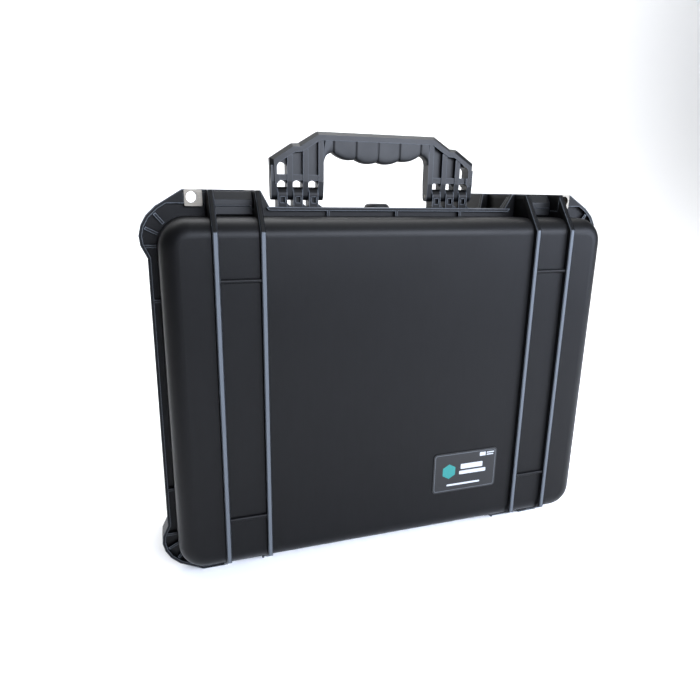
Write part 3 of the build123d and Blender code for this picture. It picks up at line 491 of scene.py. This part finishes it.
def handleGrip(look):
    low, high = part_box("handle_grip")
    shape = bmesh.new()
    length, deep = high[0] - low[0], high[1] - low[1]
    middle = ((low[0] + high[0]) / 2, (low[1] + high[1]) / 2)
    bmesh.ops.create_grid(shape, x_segments=round(length / (look["stepMm"] * mm)),
                          y_segments=look["ringSteps"], size=0.5,
                          matrix=Matrix.Diagonal((length, 1, 1, 1)))
    for vert in shape.verts:
        angle = math.pi * (vert.co.y + 0.5)
        under = max(low[2], gripUnderside(vert.co.x, look))
        waves = vert.co.x / mm / look["waveLengthMm"]
        toSeamMm = abs(waves - round(waves)) * look["waveLengthMm"]
        seam = max(0.0, 1 - toSeamMm / look["seamWidthMm"]) * look["seamMm"] * mm
        across, around = math.cos(angle), math.sin(angle)
        squared = math.copysign(abs(across) ** look["squareness"], across)
        vert.co.y = middle[1] - squared * (deep / 2 - seam)
        vert.co.z = high[2] - (high[2] - under - seam) * abs(around) ** look["squareness"]
        vert.co.x += middle[0]
    bmesh.ops.holes_fill(shape, edges=[e for e in shape.edges if e.is_boundary], sides=0)
    piece = finishPiece("grip_sleeve", shape, gripSkin, "handle")
    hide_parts("handle_grip")


handleGrip(gripLook)
print("grip made")

# Floor that sweeps up behind the case, a dark card in front of it, light and camera
studio = {"floorColour": "#ffffff", "floorM": 14.0, "wallM": 7.0, "sweepM": 1.5, "wallY": 3.0,
          "cardColour": "#050506", "cardPlace": (-0.6, -1.6, 0.75), "cardAim": (0, 0, 0.25),
          "cardM": (2.4, 1.5), "paintRough": 0.9,
          "skyColour": "#f4f7fb", "skyStrength": 0.25}


def stagePiece(name, shape, colour, roughness):
    mesh = bpy.data.meshes.new(name)
    bmesh.ops.recalc_face_normals(shape, faces=shape.faces)
    shape.to_mesh(mesh)
    shape.free()
    for polygon in mesh.polygons:
        polygon.use_smooth = True
    piece = bpy.data.objects.new(name, mesh)
    bpy.context.scene.collection.objects.link(piece)
    material, tree = newMaterial(name + "Paint")
    closeMaterial(tree, addNode(tree, "ShaderNodeBsdfPrincipled", {
        "Base Color": linearColour(colour), "Roughness": roughness, "Specular IOR Level": 0.1}))
    mesh.materials.append(material)
    return piece


floorShape = bmesh.new()
bmesh.ops.create_grid(floorShape, x_segments=1, y_segments=1, size=studio["floorM"] / 2,
                      matrix=Matrix.Translation((0, studio["wallY"] - studio["floorM"] / 2, 0)))
backEdge = [e for e in floorShape.edges if min(v.co.y for v in e.verts) > studio["wallY"] - 0.01]
wall = bmesh.ops.extrude_edge_only(floorShape, edges=backEdge)
bmesh.ops.translate(floorShape, verts=[g for g in wall["geom"] if isinstance(g, bmesh.types.BMVert)],
                    vec=(0, 0, studio["wallM"]))
bmesh.ops.bevel(floorShape, geom=backEdge, offset=studio["sweepM"], segments=16, profile=0.5,
                affect="EDGES", material=-1)
stagePiece("sweep", floorShape, studio["floorColour"], studio["paintRough"])

cardShape = bmesh.new()
cardPlace = Vector(studio["cardPlace"])
cardTurn = (Vector(studio["cardAim"]) - cardPlace).to_track_quat("Z", "Y").to_matrix().to_4x4()
cardSize = Matrix.Diagonal((*studio["cardM"], 1, 1))
bmesh.ops.create_grid(cardShape, x_segments=1, y_segments=1, size=0.5,
                      matrix=Matrix.Translation(cardPlace) @ cardTurn @ cardSize)
stagePiece("cardFront", cardShape, studio["cardColour"], studio["paintRough"])

world = bpy.data.worlds.new("softStudio")
bpy.context.scene.world = world
world.use_nodes = True
world.node_tree.nodes["Background"].inputs["Color"].default_value = linearColour(studio["skyColour"])
world.node_tree.nodes["Background"].inputs["Strength"].default_value = studio["skyStrength"]


def softLight(name, place, aim, sizeM, watts, colour):
    light = bpy.data.lights.new(name, "AREA")
    light.shape = "RECTANGLE"
    light.size, light.size_y = sizeM
    light.energy = watts
    light.color = linearColour(colour)[:3]
    lamp = bpy.data.objects.new(name, light)
    bpy.context.scene.collection.objects.link(lamp)
    turned = (Vector(aim) - Vector(place)).to_track_quat("-Z", "Y").to_matrix().to_4x4()
    lamp.matrix_world = Matrix.Translation(place) @ turned


caseMiddle = (0, 0, 0.2)
softLight("windowRight", (1.35, -0.95, 0.55), caseMiddle, (0.8, 0.8), 26, "#dfe9ff")
softLight("windowFront", (0.35, -1.2, 0.72), (0, 0, 0.4), (1.2, 0.4), 46, "#e6eeff")
softLight("skyAbove", (0.2, 0.1, 1.5), caseMiddle, (2.2, 0.7), 16, "#f0f4fb")
softLight("sweepLight", (0.0, 1.2, 3.2), (0, 2.6, 0.6), (4.5, 1.5), 150, "#ffffff")

view = {"place": (-0.2399, -0.6171, 0.4022), "turn": 18.768, "dip": 15.43, "roll": 0.972,
        "lensMm": 29.857, "sensorMm": 36}
turn, dip, roll = (math.radians(view[key]) for key in ("turn", "dip", "roll"))
forward = Vector((math.sin(turn) * math.cos(dip), math.cos(turn) * math.cos(dip), -math.sin(dip)))
across = Vector((math.cos(turn), -math.sin(turn), 0))
upward = across.cross(forward)
tiltedAcross = across * math.cos(roll) + upward * math.sin(roll)
tiltedUp = upward * math.cos(roll) - across * math.sin(roll)
camera = bpy.data.objects.new("camera", bpy.data.cameras.new("camera"))
camera.data.lens = view["lensMm"]
camera.data.sensor_width = view["sensorMm"]
bpy.context.scene.collection.objects.link(camera)
turned = Matrix((tiltedAcross, tiltedUp, -forward)).transposed().to_4x4()
camera.matrix_world = Matrix.Translation(view["place"]) @ turned
bpy.context.scene.camera = camera
bpy.context.scene.view_settings.view_transform = "Standard"

print("scene ready")
